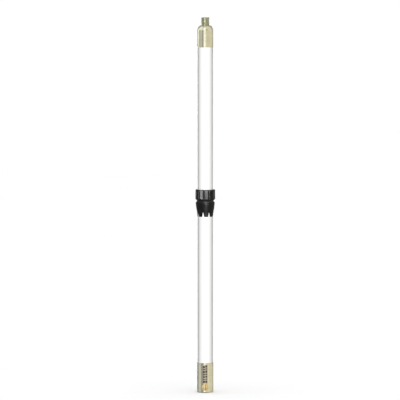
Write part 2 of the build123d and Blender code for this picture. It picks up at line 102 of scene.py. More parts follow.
SLIT_EDGE = (  # distance from the slit's middle and height above the foot, mm
    (0, 7.6),
    (0.32, 7.46),
    (0.45, 7.15),
    (1.4, 2.2),
    (1.52, 1.3),
    (1.75, 0.65),
    (2.2, 0.2),
    (2.8, 0),
)

FIELD_HEADING = -2.0
FIELD_W = 8.8 * MM
FIELD_FOOT_Z = 15.6 * MM
FIELD_TOP_Z = 47.4 * MM
BAR_FOOT_Z = 17.0 * MM
BAR_GAP = 1.55 * MM
FIELD_PROUD = 0.01 * MM
BAR_PROUD = 0.03 * MM
BAR_COLUMNS = (  # heading, width and each bar's height, mm
    (-9.5, 3.6, (3.3, 1.9, 2.7, 2.2, 3.6, 2.0, 2.9)),
    (7.0, 2.9, (3.6, 2.0, 3.1, 2.1, 3.9, 2.0, 3.4)),
)

# --- camera and stage ---
CAMERA_DISTANCE = 8.0
CAMERA_ELEVATION = 3.5
VIEW_HEIGHT = 0.6754  # what the frame shows at the antenna
VIEW_CENTRE = Vector((-0.0089, 0, 0.3256))
SENSOR = 36.0
FLOOR_REACH = 60.0
FLOOR_LIGHT = 3.5  # W per square metre; the other powers are in W
SUN_SPREAD = 40  # degrees
KEY_DISTANCE = 2.6
KEY_WIDTH = 0.3  # narrow, so that the tube's edges turn grey
KEY_HEIGHT = 1.8
KEY_POWER = 90
MATT_FILL = 0.04  # how bright the surroundings are to matt surfaces
WARM = (1.03, 1.0, 0.88)  # what the right side mirrors
COOL = (0.99, 1.0, 0.99)
STRIP_DISTANCE = 1.5  # of the lights below from what mirrors them
FERRULE_STRIPS = (  # name, the ferrule that mirrors it, heading, width and power
    ("top_edge_strip", "top_ferrule", -124, 0.40, 2.2),
    ("top_side_strip", "top_ferrule", -60, 0.24, 0.40),
    ("base_side_strip", "base_ferrule", -82, 0.50, 0.55),
    ("base_right_strip", "base_ferrule", 45, 0.90, 0.50),
)
FERRULE_STRIP_H = 1.0
COLLAR_STRIPS = (  # name, heading, elevation, width, height, power and the rings that mirror it
    ("left_strip", -44, -1, 0.36, 0.34, 52, ["grip_ring"]),
    ("right_strip", 14, -5, 0.12, 0.50, 36, ["grip_ring"]),
    ("lower_strip", 14, -5, 0.16, 0.50, 22, ["finger_ring"]),
    ("high_strip", 12, 45, 1.0, 1.0, 90, ["finger_ring"]),
)
REFLECTED = (  # heading and level of the surroundings that shiny surfaces mirror
    (-180, 0.24),
    (-160, 0.28),
    (-135, 0.42),
    (-113, 0.62),
    (-92, 0.76),
    (-70, 0.74),
    (-56, 0.50),
    (-45, 0.44),
    (-34, 0.50),
    (-22, 1.0),
    (-16, 1.9),
    (-1, 1.9),
    (6, 1.15),
    (22, 1.0),
    (100, 1.02),
    (135, 0.7),
    (165, 0.28),
    (180, 0.24),
)


# --- shader helpers ---
class Nodes:
    """Builds the nodes of a material or a world. Sockets and plain numbers can be mixed freely as inputs."""

    def __init__(self, owner):
        owner.use_nodes = True
        self.owner = owner
        self.tree = owner.node_tree
        self.tree.nodes.clear()

    def add(self, kind, inputs=(), **settings):
        node = self.tree.nodes.new(kind)
        for key, value in settings.items():
            setattr(node, key, value)
        for key, value in dict(inputs).items():
            self.plug(node.inputs[key], value)
        return node

    def plug(self, socket, value):
        if isinstance(value, bpy.types.NodeSocket):
            self.tree.links.new(value, socket)
        elif isinstance(value, (tuple, list)) and len(value) == 3 and socket.type == "RGBA":
            socket.default_value = (*value, 1)
        else:
            socket.default_value = value

    def math(self, operation, a, b=0.0, clamp=False):
        node = self.add("ShaderNodeMath", operation=operation, use_clamp=clamp)
        self.plug(node.inputs[0], a)
        self.plug(node.inputs[1], b)
        return node.outputs[0]

    def span(self, value, low, high, to_low=0.0, to_high=1.0):
        """value from low..high to to_low..to_high, clamped."""
        inputs = {"Value": value, "From Min": low, "From Max": high, "To Min": to_low, "To Max": to_high}
        return self.add("ShaderNodeMapRange", inputs).outputs["Result"]

    def mix(self, amount, a, b):
        """Colour between a and b."""
        node = self.add("ShaderNodeMix", data_type="RGBA")
        self.plug(node.inputs["Factor"], amount)
        self.plug(node.inputs[6], a)
        self.plug(node.inputs[7], b)
        return node.outputs[2]


class Shader(Nodes):
    """A material, mapped by object coordinates in metres."""

    def __init__(self, name):
        super().__init__(bpy.data.materials.new(name))
        self.place = self.add("ShaderNodeTexCoord").outputs["Object"]

    def scaled(self, x, y, z):
        """Object coordinates, scaled on each axis."""
        return self.add("ShaderNodeMapping", {"Vector": self.place, "Scale": (x, y, z)}).outputs[0]

    def axes(self):
        parts = self.add("ShaderNodeSeparateXYZ", {"Vector": self.place})
        return parts.outputs["X"], parts.outputs["Y"], parts.outputs["Z"]

    def turn(self):
        """Angle about the antenna's axis, from 0 to 1 once round."""
        x, y, _ = self.axes()
        return self.math("ADD", self.math("DIVIDE", self.math("ARCTAN2", x, y), tau), 0.5)

    def noise(self, scale, detail=3.0, rough=0.5, vector=None, distortion=0.0):
        """Noise with features of about 1 / scale metres."""
        inputs = {
            "Vector": vector or self.place,
            "Scale": scale,
            "Detail": detail,
            "Roughness": rough,
            "Distortion": distortion,
        }
        return self.add("ShaderNodeTexNoise", inputs).outputs["Fac"]

    def cells(self, scale, feature="F1", vector=None):
        inputs = {"Vector": vector or self.place, "Scale": scale}
        return self.add("ShaderNodeTexVoronoi", inputs, feature=feature).outputs["Distance"]

    def bump(self, height, depth, under=None):
        """Normal of a height from 0 to 1 that is depth metres deep."""
        inputs = {"Height": height, "Strength": 1.0, "Distance": depth}
        if under:
            inputs["Normal"] = under
        return self.add("ShaderNodeBump", inputs).outputs["Normal"]

    def edges(self, radius):
        """1 on sharp edges, 0 on open faces."""
        rounded = self.add("ShaderNodeBevel", {"Radius": radius}, samples=6).outputs["Normal"]
        plain = self.add("ShaderNodeNewGeometry").outputs["Normal"]
        product = self.add("ShaderNodeVectorMath", operation="DOT_PRODUCT")
        self.plug(product.inputs[0], rounded)
        self.plug(product.inputs[1], plain)
        return self.span(product.outputs["Value"], 0.99, 0.85)

    def scratches(self, scale, amount, tilt=0.3):
        """Sparse fine straight lines, at tilt radians from upright."""
        tilted = self.add("ShaderNodeMapping", {"Vector": self.place, "Rotation": (tilt, tilt, 0)}).outputs[0]
        drawn_out = self.add("ShaderNodeMapping", {"Vector": tilted, "Scale": (1, 1, 0.05)}).outputs[0]
        near = self.math("ABSOLUTE", self.math("SUBTRACT", self.noise(scale, 1.0, 0.5, drawn_out), 0.5))
        where = self.span(self.noise(70.0), 0.52, 0.66)
        return self.math("MULTIPLY", self.span(near, 0.008, 0.0, 0.0, amount), where)

    def painted_recess_shade(self, reach):
        """Painted shade: 1 deep in slots and corners, where ambient occlusion finds them hemmed in, 0 on open
        faces.
        """
        settings = {"samples": 8, "only_local": True}
        open_share = self.add("ShaderNodeAmbientOcclusion", {"Distance": reach}, **settings).outputs["AO"]
        return self.span(open_share, 0.75, 0.35)

    def finish(self, **inputs):
        """Principled surface. Keys are its inputs, with _ for a space."""
        named = {key.replace("_", " "): value for key, value in inputs.items()}
        shader = self.add("ShaderNodeBsdfPrincipled", named)
        output = self.add("ShaderNodeOutputMaterial")
        self.tree.links.new(shader.outputs[0], output.inputs["Surface"])
        return self.owner


# --- materials ---
def turned_metal(name, colour, tint, roughness, line_pitch, tarnish, bare=None, painted_shade_where=None):
    """Lathe-turned metal: fine lines round the axis, uneven plating, handling marks, worn edges and painted
    shade deep in slots and corners.
    """
    s = Shader(name)
    lines = s.noise(1 / line_pitch, 3.0, 0.6, s.scaled(0.02, 0.02, 1.0))
    cloud = s.noise(110.0, 4.0, 0.55)
    streak = s.noise(1.0, 3.0, 0.6, s.scaled(420.0, 420.0, 30.0))
    spots = s.span(s.noise(700.0, 4.0, 0.7), 0.62, 0.78, 0.0, tarnish)
    colours = s.mix(s.span(cloud, 0.35, 0.65), colour, tint)
    colours = s.mix(s.span(streak, 0.55, 0.8, 0.0, 0.25), colours, tuple(0.72 * c for c in tint))
    colours = s.mix(spots, colours, tuple(0.45 * c for c in tint))
    # painted shade: the metal turns much darker deep in slots and corners
    colours = s.mix(s.math("MULTIPLY", s.painted_recess_shade(1.0 * MM), 0.75), colours, tuple(0.12 * c for c in tint))
    # painted shade: darker where the given mask lies, such as a slot's floor
    if painted_shade_where:
        colours = s.mix(painted_shade_where(s), colours, tuple(0.12 * c for c in tint))
    if bare:
        colours = s.mix(s.math("MULTIPLY", s.edges(0.25 * MM), 0.6), colours, bare)
    rough = s.span(cloud, 0.3, 0.7, roughness * 0.8, roughness * 1.25)
    rough = s.math("ADD", rough, s.math("MULTIPLY", spots, 0.3))
    rough = s.math("ADD", rough, s.scratches(700.0, 0.2), clamp=True)
    normal = s.bump(lines, 3e-6)
    normal = s.bump(s.noise(2400.0, 3.0, 0.7), 1.5e-6, normal)
    return s.finish(Base_Color=colours, Metallic=1.0, Roughness=rough, Normal=normal)


def plated_brass():
    return turned_metal(
        "plated_brass_look", (0.63, 0.61, 0.49), (0.58, 0.55, 0.40), 0.23, 0.12 * MM, 0.22, (0.62, 0.47, 0.22)
    )


def stud_plating():
    """Dull olive passivation on the threads."""
    return turned_metal(
        "stud_plating_look", (0.58, 0.585, 0.45), (0.50, 0.50, 0.35), 0.2, 0.2 * MM, 0.4, (0.7, 0.7, 0.6)
    )


def bare_brass():
    return turned_metal(
        "bare_brass_look", (0.70, 0.55, 0.27), (0.62, 0.45, 0.20), 0.3, 0.15 * MM, 0.5, (0.92, 0.74, 0.38)
    )


def slotted_brass():
    """Bare brass with painted shade on the floor of the earth screw's slot."""

    # where the painted shade lies: across the slot, and deeper down on its floor
    def slot(s):
        x, y, _ = s.axes()
        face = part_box("earth_screw")[0].y
        across = s.span(s.math("ABSOLUTE", x), 0.62 * MM, 0.5 * MM)
        return s.math("MULTIPLY", across, s.span(y, face + 0.3 * MM, face + 0.7 * MM, 0.0, 0.85))

    bright, tint, bare = (0.72, 0.57, 0.30), (0.64, 0.47, 0.22), (0.92, 0.74, 0.38)
    return turned_metal("slotted_brass_look", bright, tint, 0.3, 0.15 * MM, 0.4, bare, slot)


def contact_metal():
    return turned_metal("contact_metal_look", (0.82, 0.80, 0.72), (0.72, 0.66, 0.5), 0.22, 0.1 * MM, 0.45)


def band_aluminium():
    return turned_metal("band_aluminium_look", (0.78, 0.79, 0.80), (0.70, 0.70, 0.70), 0.34, 0.25 * MM, 0.2)


def spring_steel():
    return turned_metal(
        "spring_steel_look", (0.05, 0.05, 0.052), (0.035, 0.032, 0.03), 0.42, 0.2 * MM, 0.4, (0.2, 0.2, 0.2)
    )


def copper():
    return turned_metal("copper_look", (0.80, 0.40, 0.22), (0.62, 0.26, 0.12), 0.28, 0.3 * MM, 0.4)


def tinned_braid():
    """Tinned copper strands that cross at an angle, with painted shade in the gaps between them and copper
    showing where they rub.
    """
    s = Shader("tinned_braid_look")
    _, _, z = s.axes()
    turns = s.math("MULTIPLY", s.turn(), 12.0 * tau)
    climb = s.math("MULTIPLY", z, tau / (1.1 * MM))
    right = s.math("SINE", s.math("ADD", turns, climb))
    left = s.math("SINE", s.math("SUBTRACT", turns, climb))
    weave = s.math("ADD", s.math("MULTIPLY", s.math("MULTIPLY", right, left), 0.5), 0.5)
    worn = s.span(s.noise(900.0, 4.0, 0.6), 0.55, 0.75)
    # painted shade: dark where the weave is low, between the strands
    colours = s.mix(weave, (0.22, 0.19, 0.16), (0.72, 0.69, 0.63))
    colours = s.mix(s.math("MULTIPLY", worn, 0.5), colours, (0.66, 0.36, 0.2))
    rough = s.span(weave, 0.0, 1.0, 0.6, 0.3)
    return s.finish(Base_Color=colours, Metallic=1.0, Roughness=rough, Normal=s.bump(weave, 0.12 * MM))


def fibreglass():
    """White gelcoat over wound fibreglass: the winding shows faintly, with dust and rubbed bands."""
    s = Shader("fibreglass_look")
    _, _, z = s.axes()
    around = s.math("MULTIPLY", s.turn(), 24.0 * tau)
    climb = s.math("MULTIPLY", z, tau / (3.4 * MM))
    right = s.math("SINE", s.math("ADD", around, climb))
    left = s.math("SINE", s.math("SUBTRACT", around, climb))
    winding = s.math("ADD", s.math("MULTIPLY", s.math("MAXIMUM", right, left), 0.5), 0.5)
    wave = s.noise(55.0, 3.0, 0.5, s.scaled(1.0, 1.0, 0.25))
    dust = s.span(s.noise(420.0, 5.0, 0.65), 0.56, 0.8)
    rubbed = s.span(s.noise(1.0, 4.0, 0.6, s.scaled(60.0, 60.0, 14.0)), 0.5, 0.75)
    colours = s.mix(wave, (0.90, 0.905, 0.905), (0.865, 0.865, 0.85))
    colours = s.mix(s.math("MULTIPLY", winding, 0.06), colours, (0.78, 0.77, 0.72))
    colours = s.mix(s.math("MULTIPLY", dust, 0.10), colours, (0.60, 0.57, 0.50))
    colours = s.mix(s.scratches(500.0, 0.12), colours, (0.55, 0.53, 0.5))
    rough = s.math("ADD", s.span(wave, 0.3, 0.7, 0.24, 0.36), s.math("MULTIPLY", rubbed, 0.12))
    rough = s.math("ADD", rough, s.math("MULTIPLY", dust, 0.15), clamp=True)
    normal = s.bump(winding, 8e-6)
    normal = s.bump(wave, 60e-6, normal)
    normal = s.bump(s.noise(1500.0, 3.0, 0.6), 2e-6, normal)
    return s.finish(Base_Color=colours, Roughness=rough, IOR=1.5, Normal=normal)


def moulded(name, colour, pale, roughness, grain, edge=0.0, dust=0.0, **more):
    """Moulded plastic: fine grain, slow colour drift, scuffs, dust and paler worn edges."""
    s = Shader(name)
    drift = s.noise(70.0, 3.0, 0.5)
    fine = s.noise(1 / grain, 3.0, 0.65)
    dusty = s.span(s.noise(240.0, 6.0, 0.7, s.scaled(1.0, 1.0, 0.6)), 0.5, 0.75)
    colours = s.mix(s.span(drift, 0.35, 0.65), colour, tuple(0.8 * c for c in colour))
    colours = s.mix(s.math("MULTIPLY", dusty, dust), colours, pale)
    colours = s.mix(s.scratches(600.0, 0.25, 0.15), colours, pale)
    if edge:
        worn = s.math("MULTIPLY", s.edges(0.35 * MM), s.span(s.noise(380.0, 4.0, 0.6), 0.4, 0.65, 0.0, edge))
        colours = s.mix(worn, colours, pale)
    rough = s.span(drift, 0.3, 0.7, roughness * 0.8, roughness * 1.1)
    rough = s.math("ADD", rough, s.span(fine, 0.3, 0.7, 0.0, 0.08))
    rough = s.math("ADD", rough, s.math("MULTIPLY", dusty, 0.12))
    normal = s.bump(fine, 0.16 * grain)
    normal = s.bump(drift, 0.05 * MM, normal)
    return s.finish(Base_Color=colours, Roughness=rough, Normal=normal, **more)


def black_nylon():
    return moulded(
        "black_nylon_look", (0.0075, 0.0075, 0.008), (0.06, 0.06, 0.06), 0.33, 0.2 * MM, 0.5, 0.12, IOR=1.2
    )


def ptfe():
    return moulded("ptfe_look", (0.86, 0.86, 0.83), (0.7, 0.69, 0.64), 0.4, 0.2 * MM, Subsurface_Weight=0.1)


def jacket_pvc():
    return moulded("jacket_pvc_look", (0.028, 0.028, 0.03), (0.12, 0.12, 0.12), 0.42, 0.15 * MM)


def polyethylene():
    milky, pale = (0.78, 0.78, 0.73), (0.6, 0.6, 0.55)
    return moulded("polyethylene_look", milky, pale, 0.33, 0.3 * MM, Subsurface_Weight=0.15)


def bobbin_plastic():
    return moulded("bobbin_plastic_look", (0.66, 0.58, 0.38), (0.8, 0.76, 0.62), 0.45, 0.15 * MM, 0.5)


def seal_rubber():
    return moulded("seal_rubber_look", (0.022, 0.022, 0.022), (0.16, 0.155, 0.15), 0.62, 0.1 * MM, 0.4)


def foam():
    """Closed-cell foam: bubbles of about a millimetre, cut open at the faces, with painted shade inside them.
    """
    s = Shader("foam_look")
    bubbles = s.cells(900.0)
    walls = s.cells(900.0, "DISTANCE_TO_EDGE")
    # painted shade: darker inside each cut-open bubble, away from its walls
    colours = s.mix(s.span(walls, 0.0, 0.25), (0.86, 0.84, 0.77), (0.66, 0.63, 0.54))
    colours = s.mix(s.span(s.noise(120.0), 0.4, 0.7, 0.0, 0.3), colours, (0.72, 0.66, 0.5))
    return s.finish(Base_Color=colours, Roughness=0.85, Normal=s.bump(bubbles, 0.3 * MM))


def capacitor_ceramic():
    """Brown lacquer, dipped, with an orange-peel skin."""
    s = Shader("capacitor_ceramic_look")
    peel = s.noise(900.0, 2.0, 0.5)
    cloud = s.noise(180.0, 3.0, 0.6)
    colours = s.mix(cloud, (0.42, 0.20, 0.06), (0.30, 0.12, 0.035))
    return s.finish(
        Base_Color=colours,
        Roughness=s.span(cloud, 0.3, 0.7, 0.18, 0.32),
        Coat_Weight=0.5,
        Normal=s.bump(peel, 0.03 * MM),
    )


def etched_field():
    """Plating dulled by etching, a little brown."""
    return turned_metal("etched_field_look", (0.52, 0.47, 0.38), (0.45, 0.40, 0.31), 0.38, 0.3 * MM, 0.5)


def dark_ink():
    """Burnt marks in the plating, uneven at their edges."""
    s = Shader("dark_ink_look")
    uneven = s.noise(1400.0, 3.0, 0.6)
    colours = s.mix(s.span(uneven, 0.35, 0.7), (0.014, 0.010, 0.007), (0.034, 0.026, 0.018))
    rough = s.span(uneven, 0.3, 0.7, 0.45, 0.65)
    return s.finish(Base_Color=colours, Roughness=rough, Normal=s.bump(uneven, 0.01 * MM))


LOOKS = {
    make.__name__: make()
    for make in (
        plated_brass,
        bare_brass,
        contact_metal,
        copper,
        tinned_braid,
        spring_steel,
        band_aluminium,
        fibreglass,
        black_nylon,
        ptfe,
        jacket_pvc,
        polyethylene,
        foam,
        bobbin_plastic,
        seal_rubber,
        capacitor_ceramic,
        stud_plating,
        slotted_brass,
        etched_field,
        dark_ink,
    )
}

for part in frame["record"]["subparts"]:
    node = frame["nodes"][part["node"]]
    for material_slot in node.material_slots:
        material_slot.material = LOOKS[part["material_slot"]]
frame["nodes"]["earth_screw"].material_slots[0].material = LOOKS["slotted_brass"]


# --- mesh helpers ---
def make_piece(name, points, faces, body, slot, look=None, replaces=()):
    """Mesh object on its body. Its look is its slot's, unless another is named."""
    mesh = bpy.data.meshes.new(name)
    mesh.from_pydata(points, [], faces)
    work = bmesh.new()
    work.from_mesh(mesh)
    bmesh.ops.recalc_face_normals(work, faces=work.faces)
    work.to_mesh(mesh)
    work.free()
    mesh.materials.append(LOOKS[look or slot])
    mesh.shade_smooth()
    mesh.set_sharp_from_angle(angle=radians(35))
    piece = bpy.data.objects.new(name, mesh)
    bpy.context.scene.collection.objects.link(piece)
    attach(piece, body)
    if replaces:
        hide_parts(*replaces)


def skin(loops, closed):
    """Points and faces through equal loops of points. Open ends are capped; a closed skin joins up."""
    count = len(loops[0])
    points = [point for loop in loops for point in loop]
    faces = []
    last = len(loops) if closed else len(loops) - 1
    for i in range(last):
        here, there = i * count, (i + 1) % len(loops) * count
        for j in range(count):
            k = (j + 1) % count
            faces.append((here + j, here + k, there + k, there + j))
    if not closed:
        faces.append(tuple(reversed(range(count))))
        faces.append(tuple(range(len(points) - count, len(points))))
    return points, faces


def at(heading, radius, z):
    """Point at a heading and a distance from the antenna's axis."""
    a = radians(heading)
    return (radius * sin(a), -radius * cos(a), z)


def steps(low, high, count):
    """Evenly spaced numbers from low to high."""
    return [low + (high - low) * i / (count - 1) for i in range(count)]


def thread_depth(heading, z, pitch):
    """0 on the crest of a right-hand thread and 1 at its root."""
    phase = (z / pitch - heading / 360) % 1
    away = abs(phase - 0.5) * 2
    return min(max((away - 0.15) / 0.6, 0), 1)


def along(corners, value):
    """Second number of a list of (first, second) corners, at a given first."""
    for (a, low), (b, high) in zip(corners, corners[1:]):
        if value <= b:
            return low + (high - low) * max(value - a, 0) / (b - a)
    return corners[-1][1]


def with_middles(values):
    """The values, with the middle of each pair of neighbours between them."""
    middles = [(a + b) / 2 for a, b in zip(values, values[1:])]
    return sorted([*values, *middles])


def bands(*edges, near=0.12 * MM):
    """Heights from the first edge to the last, with a close pair round each one between, to keep it crisp."""
    levels = [edges[0], edges[0] + near]
    for edge in edges[1:-1]:
        levels += [edge - near, edge, edge + near]
    return levels + [edges[-1] - near, edges[-1]]


# --- stud and threads ---
def threaded_stud():
    """M14 stud with a real thread that runs out at both ends, and a centre mark in its end."""
    low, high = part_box("joint_stud")
    face_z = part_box("top_ferrule")[1].z
    radius = high.x
    root = radius - STUD_THREAD_DEPTH
    shank = radius - STUD_SHANK_STEP
    turn = [i * 3.75 for i in range(96)]
    loops = [[at(h, shank, z) for h in turn] for z in (low.z, face_z)]
    for z in steps(face_z + 0.01 * MM, high.z, ceil((high.z - face_z) / STUD_PITCH * 16)):
        loop = []
        for h in turn:
            thread = radius - STUD_THREAD_DEPTH * thread_depth(h, z, STUD_PITCH)
            foot = root + max(z - face_z - STUD_RUNOUT, 0)
            tip = radius - STUD_TIP_CHAMFER + high.z - z
            loop.append(at(h, min(thread, foot, tip), z))
        loops.append(loop)
    loops.append([at(h, STUD_CENTRE_R, high.z) for h in turn])
    loops.append([at(h, 0.05 * MM, high.z - STUD_CENTRE_R) for h in turn])
    points, faces = skin(loops, closed=False)
    make_piece("stud", points, faces, "mast", "plated_brass", "stud_plating", ["joint_stud"])


def threaded_sleeve():
    """The sleeve that the rings turn on, with its thread. The keyway leaves it open at the back."""
    low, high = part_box("threaded_sleeve")
    radius = high.x
    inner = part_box("radome_tube")[1].x + TOUCHING
    open_half = degrees(SLEEVE_KEYWAY_W / 2 / inner)
    loops = []
    for h in steps(-180 + open_half, 180 - open_half, 160):
        loop = [at(h, inner, high.z), at(h, inner, low.z)]
        for z in steps(low.z, high.z, ceil((high.z - low.z) / SLEEVE_PITCH * 10)):
            thread = radius - SLEEVE_THREAD_DEPTH * thread_depth(h, z, SLEEVE_PITCH)
            runout = min(z - low.z, high.z - z) + radius - SLEEVE_THREAD_DEPTH
            loop.append(at(h, min(thread, runout), z))
        loops.append(loop)
    points, faces = skin(loops, closed=False)
    make_piece("sleeve_thread", points, faces, "mast", "black_nylon", replaces=["threaded_sleeve"])


def socket_shell():
    """Coax socket's shell: coupling thread, four notches in its rim, flange and rear barrel."""
    low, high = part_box("socket_body")
    flange_r = high.x
    gasket_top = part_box("socket_gasket")[1].z
    flange_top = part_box("socket_clamp_ring")[0].z
    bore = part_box("socket_insulator")[1].x + 0.05 * MM
    loops = []
    for i in range(144):
        h = i * 2.5
        notched = abs(h % 90 - 45) < SOCKET_NOTCH_HALF
        loop = [at(h, bore, high.z), at(h, bore, low.z)]
        for z in steps(low.z, gasket_top, ceil((gasket_top - low.z) / SOCKET_PITCH * 10)):
            groove = SOCKET_THREAD_DEPTH * thread_depth(h, z, SOCKET_PITCH)
            tip = SOCKET_R - SOCKET_TIP_CHAMFER + z - low.z
            notch = SOCKET_R - (SOCKET_NOTCH_DEPTH if notched and z < low.z + SOCKET_NOTCH_H else 0)
            loop.append(at(h, min(SOCKET_R - groove, tip, notch), z))
        loop += [at(h, flange_r - SOCKET_RIM, gasket_top), at(h, flange_r, gasket_top + SOCKET_RIM)]
        loop += [at(h, flange_r, flange_top - SOCKET_RIM), at(h, flange_r - SOCKET_RIM, flange_top)]
        loop += [at(h, SOCKET_REAR_R, flange_top), at(h, SOCKET_REAR_R, high.z)]
        loops.append(loop)
    points, faces = skin(loops, closed=True)
    make_piece("socket_shell", points, faces, "mast", "plated_brass", replaces=["socket_body"])


# --- tuning collar ---
def rib_outline(offset):
    """Radius of the tuning ring's outline at an angle from the nearest rib's middle."""
    crest = sqrt(COLLAR_R**2 - (RIB_W / 2) ** 2)
    edge, foot = degrees(atan(RIB_W / 2 / crest)), degrees(atan(RIB_FOOT_W / 2 / RIB_ROOT_R))
    away = abs(offset)
    if away <= edge:
        return crest / cos(radians(away))
    return along([(edge, COLLAR_R), (foot, RIB_ROOT_R + 0.1 * MM), (foot + 0.6, RIB_ROOT_R)], away)


def moulded_tuning_ring():
    """Upper ring with flat grip ribs whose edges are rounded as moulded."""
    low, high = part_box("tuning_ring")
    foot_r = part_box("lock_washer")[1].x
    tube_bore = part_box("radome_tube")[1].x + FINE_GAP
    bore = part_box("threaded_sleeve")[1].x + FINE_GAP
    snap_low, snap_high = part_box("band_snap_ring")
    wiper_low, wiper_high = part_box("ring_wiper")
    lip_z = high.z - LIP_T
    inner = [
        (tube_bore, high.z),
        (tube_bore, wiper_high.z),
        (wiper_high.x, wiper_high.z),
        (wiper_high.x, wiper_low.z),
        (tube_bore, wiper_low.z),
        (tube_bore, lip_z),
        (bore, lip_z),
        (bore, snap_high.z),
        (snap_high.x, snap_high.z),
        (snap_high.x, snap_low.z),
        (bore, snap_low.z),
        (bore, low.z),
    ]
    foot_top, rim_z = low.z + TUNING_FOOT_CHAMFER_H, high.z - TUNING_TOP_CHAMFER
    rim_r = COLLAR_R - TUNING_TOP_CHAMFER
    limit = [(low.z, foot_r), (foot_top, COLLAR_R), (rim_z, COLLAR_R), (high.z, rim_r)]
    levels = bands(low.z, foot_top, rim_z, high.z, near=0.35 * MM)
    levels += steps(low.z + 0.8 * MM, foot_top - 0.8 * MM, 4) + steps(foot_top + 1.5 * MM, high.z - 2 * MM, 6)
    pitch = 360 / RIB_COUNT
    half_rib = steps(0, 6, 3) + steps(7.4, 11, 9) + steps(12, 13.5, 2)  # degrees, close where the rib ends
    offsets = [-pitch / 2] + [-offset for offset in reversed(half_rib[1:])] + half_rib
    loops = []
    for rib in range(RIB_COUNT):
        for offset in offsets:
            h = RIB_HEADING + rib * pitch + offset
            loop = [at(h, r, z) for r, z in inner]
            for z in sorted(levels):
                near = []
                for shift in steps(-RIB_ROUNDING, RIB_ROUNDING, 5):
                    outline = rib_outline((offset + shift + pitch / 2) % pitch - pitch / 2)
                    near.append(min(outline, along(limit, z + shift / 2 * MM)))
                loop.append(at(h, sum(near) / len(near), z))
            loops.append(loop)
    points, faces = skin(loops, closed=True)
    make_piece("grip_ring", points, faces, "tuning_nut", "black_nylon", replaces=["tuning_ring"])


def moulded_lock_ring():
    """Lower ring: tapered, with rounded fingers between its slits."""
    low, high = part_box("lock_ring")
    foot_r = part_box("lock_washer")[1].x
    tube_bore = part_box("radome_tube")[1].x + FINE_GAP
    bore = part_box("threaded_sleeve")[1].x + FINE_GAP
    bore_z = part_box("threaded_sleeve")[0].z - LOCK_COUNTERBORE_GAP
    height = high.z - low.z
    profile = [(z * MM, r * MM) for z, r in LOCK_PROFILE] + [(height, foot_r)]
    corners = [z for z, _ in profile if SLIT_TOP < z < height]
    upper = bands(SLIT_TOP + 0.6 * MM, *corners, height - 0.1 * MM, near=0.3 * MM)
    edge = [(s * MM, z * MM) for s, z in SLIT_EDGE]
    half_pitch = pi * FINGER_R / SLIT_COUNT
    half = with_middles([s for s, _ in edge]) + steps(edge[-1][0] + 0.7 * MM, half_pitch, 3)
    offsets = [-offset for offset in reversed(half[1:-1])] + half
    loops = []
    for slit in range(SLIT_COUNT):
        for offset in offsets:
            h = SLIT_HEADING + slit * 360 / SLIT_COUNT + degrees(offset / FINGER_R)
            cut = along(edge, abs(offset))
            loop = [at(h, bore, high.z), at(h, bore, bore_z), at(h, tube_bore, bore_z)]
            loop += [at(h, tube_bore, low.z + SLIT_TOP), at(h, tube_bore, low.z + cut + 0.15 * MM)]
            for share in steps(0, 1, 9):
                z = cut + (SLIT_TOP - cut) * share**2
                round_off = FINGER_EDGE_DROP * max(1 - (z - cut) / FINGER_EDGE_H, 0) ** 2
                loop.append(at(h, max(along(profile, z) - round_off, tube_bore + TOUCHING), low.z + z))
            for z in upper:
                near = [along(profile, z + shift * MM) for shift in steps(-LOCK_ROUNDING, LOCK_ROUNDING, 5)]
                loop.append(at(h, sum(near) / len(near), low.z + z))
            loop.append(at(h, foot_r, high.z))
            loops.append(loop)
    points, faces = skin(loops, closed=True)
    make_piece("finger_ring", points, faces, "lock_nut", "black_nylon", replaces=["lock_ring"])


# --- generic marking on the base ferrule ---
def curved_plates(plates, proud):
    """Thin plates that lie on the base ferrule. Each one is (heading, width, foot, height)."""
    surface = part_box("base_ferrule")[1].x
    inner, outer = surface - TOUCHING, surface + proud
    points, faces = [], []
    for heading, width, foot, height in plates:
        half = degrees(width / 2 / surface)
        top = foot + height
        loops = []
        for h in steps(heading - half, heading + half, max(3, round(half) + 2)):
            loops.append([at(h, inner, foot), at(h, outer, foot), at(h, outer, top), at(h, inner, top)])
        more_points, more_faces = skin(loops, closed=False)
        faces += [tuple(index + len(points) for index in face) for face in more_faces]
        points += more_points
    return points, faces


def marking():
    """A dull etched field with two columns of plain dark bars; they say nothing."""
    field = (FIELD_HEADING, FIELD_W, FIELD_FOOT_Z, FIELD_TOP_Z - FIELD_FOOT_Z)
    points, faces = curved_plates([field], FIELD_PROUD)
    make_piece("etched_field", points, faces, "mast", "plated_brass", "etched_field")
    bars = []
    for heading, width, heights in BAR_COLUMNS:
        foot = BAR_FOOT_Z
        for height in heights:
            bars.append((heading, width * MM, foot, height * MM))
            foot += height * MM + BAR_GAP
    points, faces = curved_plates(bars, BAR_PROUD)
    make_piece("dark_bars", points, faces, "mast", "black_nylon", "dark_ink")


threaded_stud()
threaded_sleeve()
socket_shell()
moulded_tuning_ring()
moulded_lock_ring()
marking()


# --- stage ---
def panel(name, place, target, width, height, power):
    """Soft rectangular light that isn't seen itself."""
    data = bpy.data.lights.new(name, "AREA")
    data.shape = "RECTANGLE"
    data.size, data.size_y = width, height
    data.energy = power
    light = bpy.data.objects.new(name, data)
    bpy.context.scene.collection.objects.link(light)
    light.location = place
    light.rotation_euler = (target - place).to_track_quat("-Z", "Y").to_euler()
    light.visible_camera = False
    return light


def around(heading, elevation, distance, target):
    """Point at a distance from target."""
    e = radians(elevation)
    return target + (Vector(at(heading, cos(e), 0)) + Vector((0, 0, sin(e)))) * distance


def reaches(light, pieces, state="INCLUDE"):
    """The light reaches only these pieces or, with EXCLUDE, all but these."""
    group = bpy.data.collections.new(light.name + "_group")
    light.light_linking.receiver_collection = group
    for piece in pieces:
        group.objects.link(piece)
        group.collection_objects[-1].light_linking.link_state = state


def ride_with_camera(light):
    """Keep the light where it is beside the camera, so that every view is lit alike."""
    bpy.context.view_layer.update()
    world = light.matrix_world.copy()
    light.parent = bpy.context.scene.camera
    light.matrix_world = world


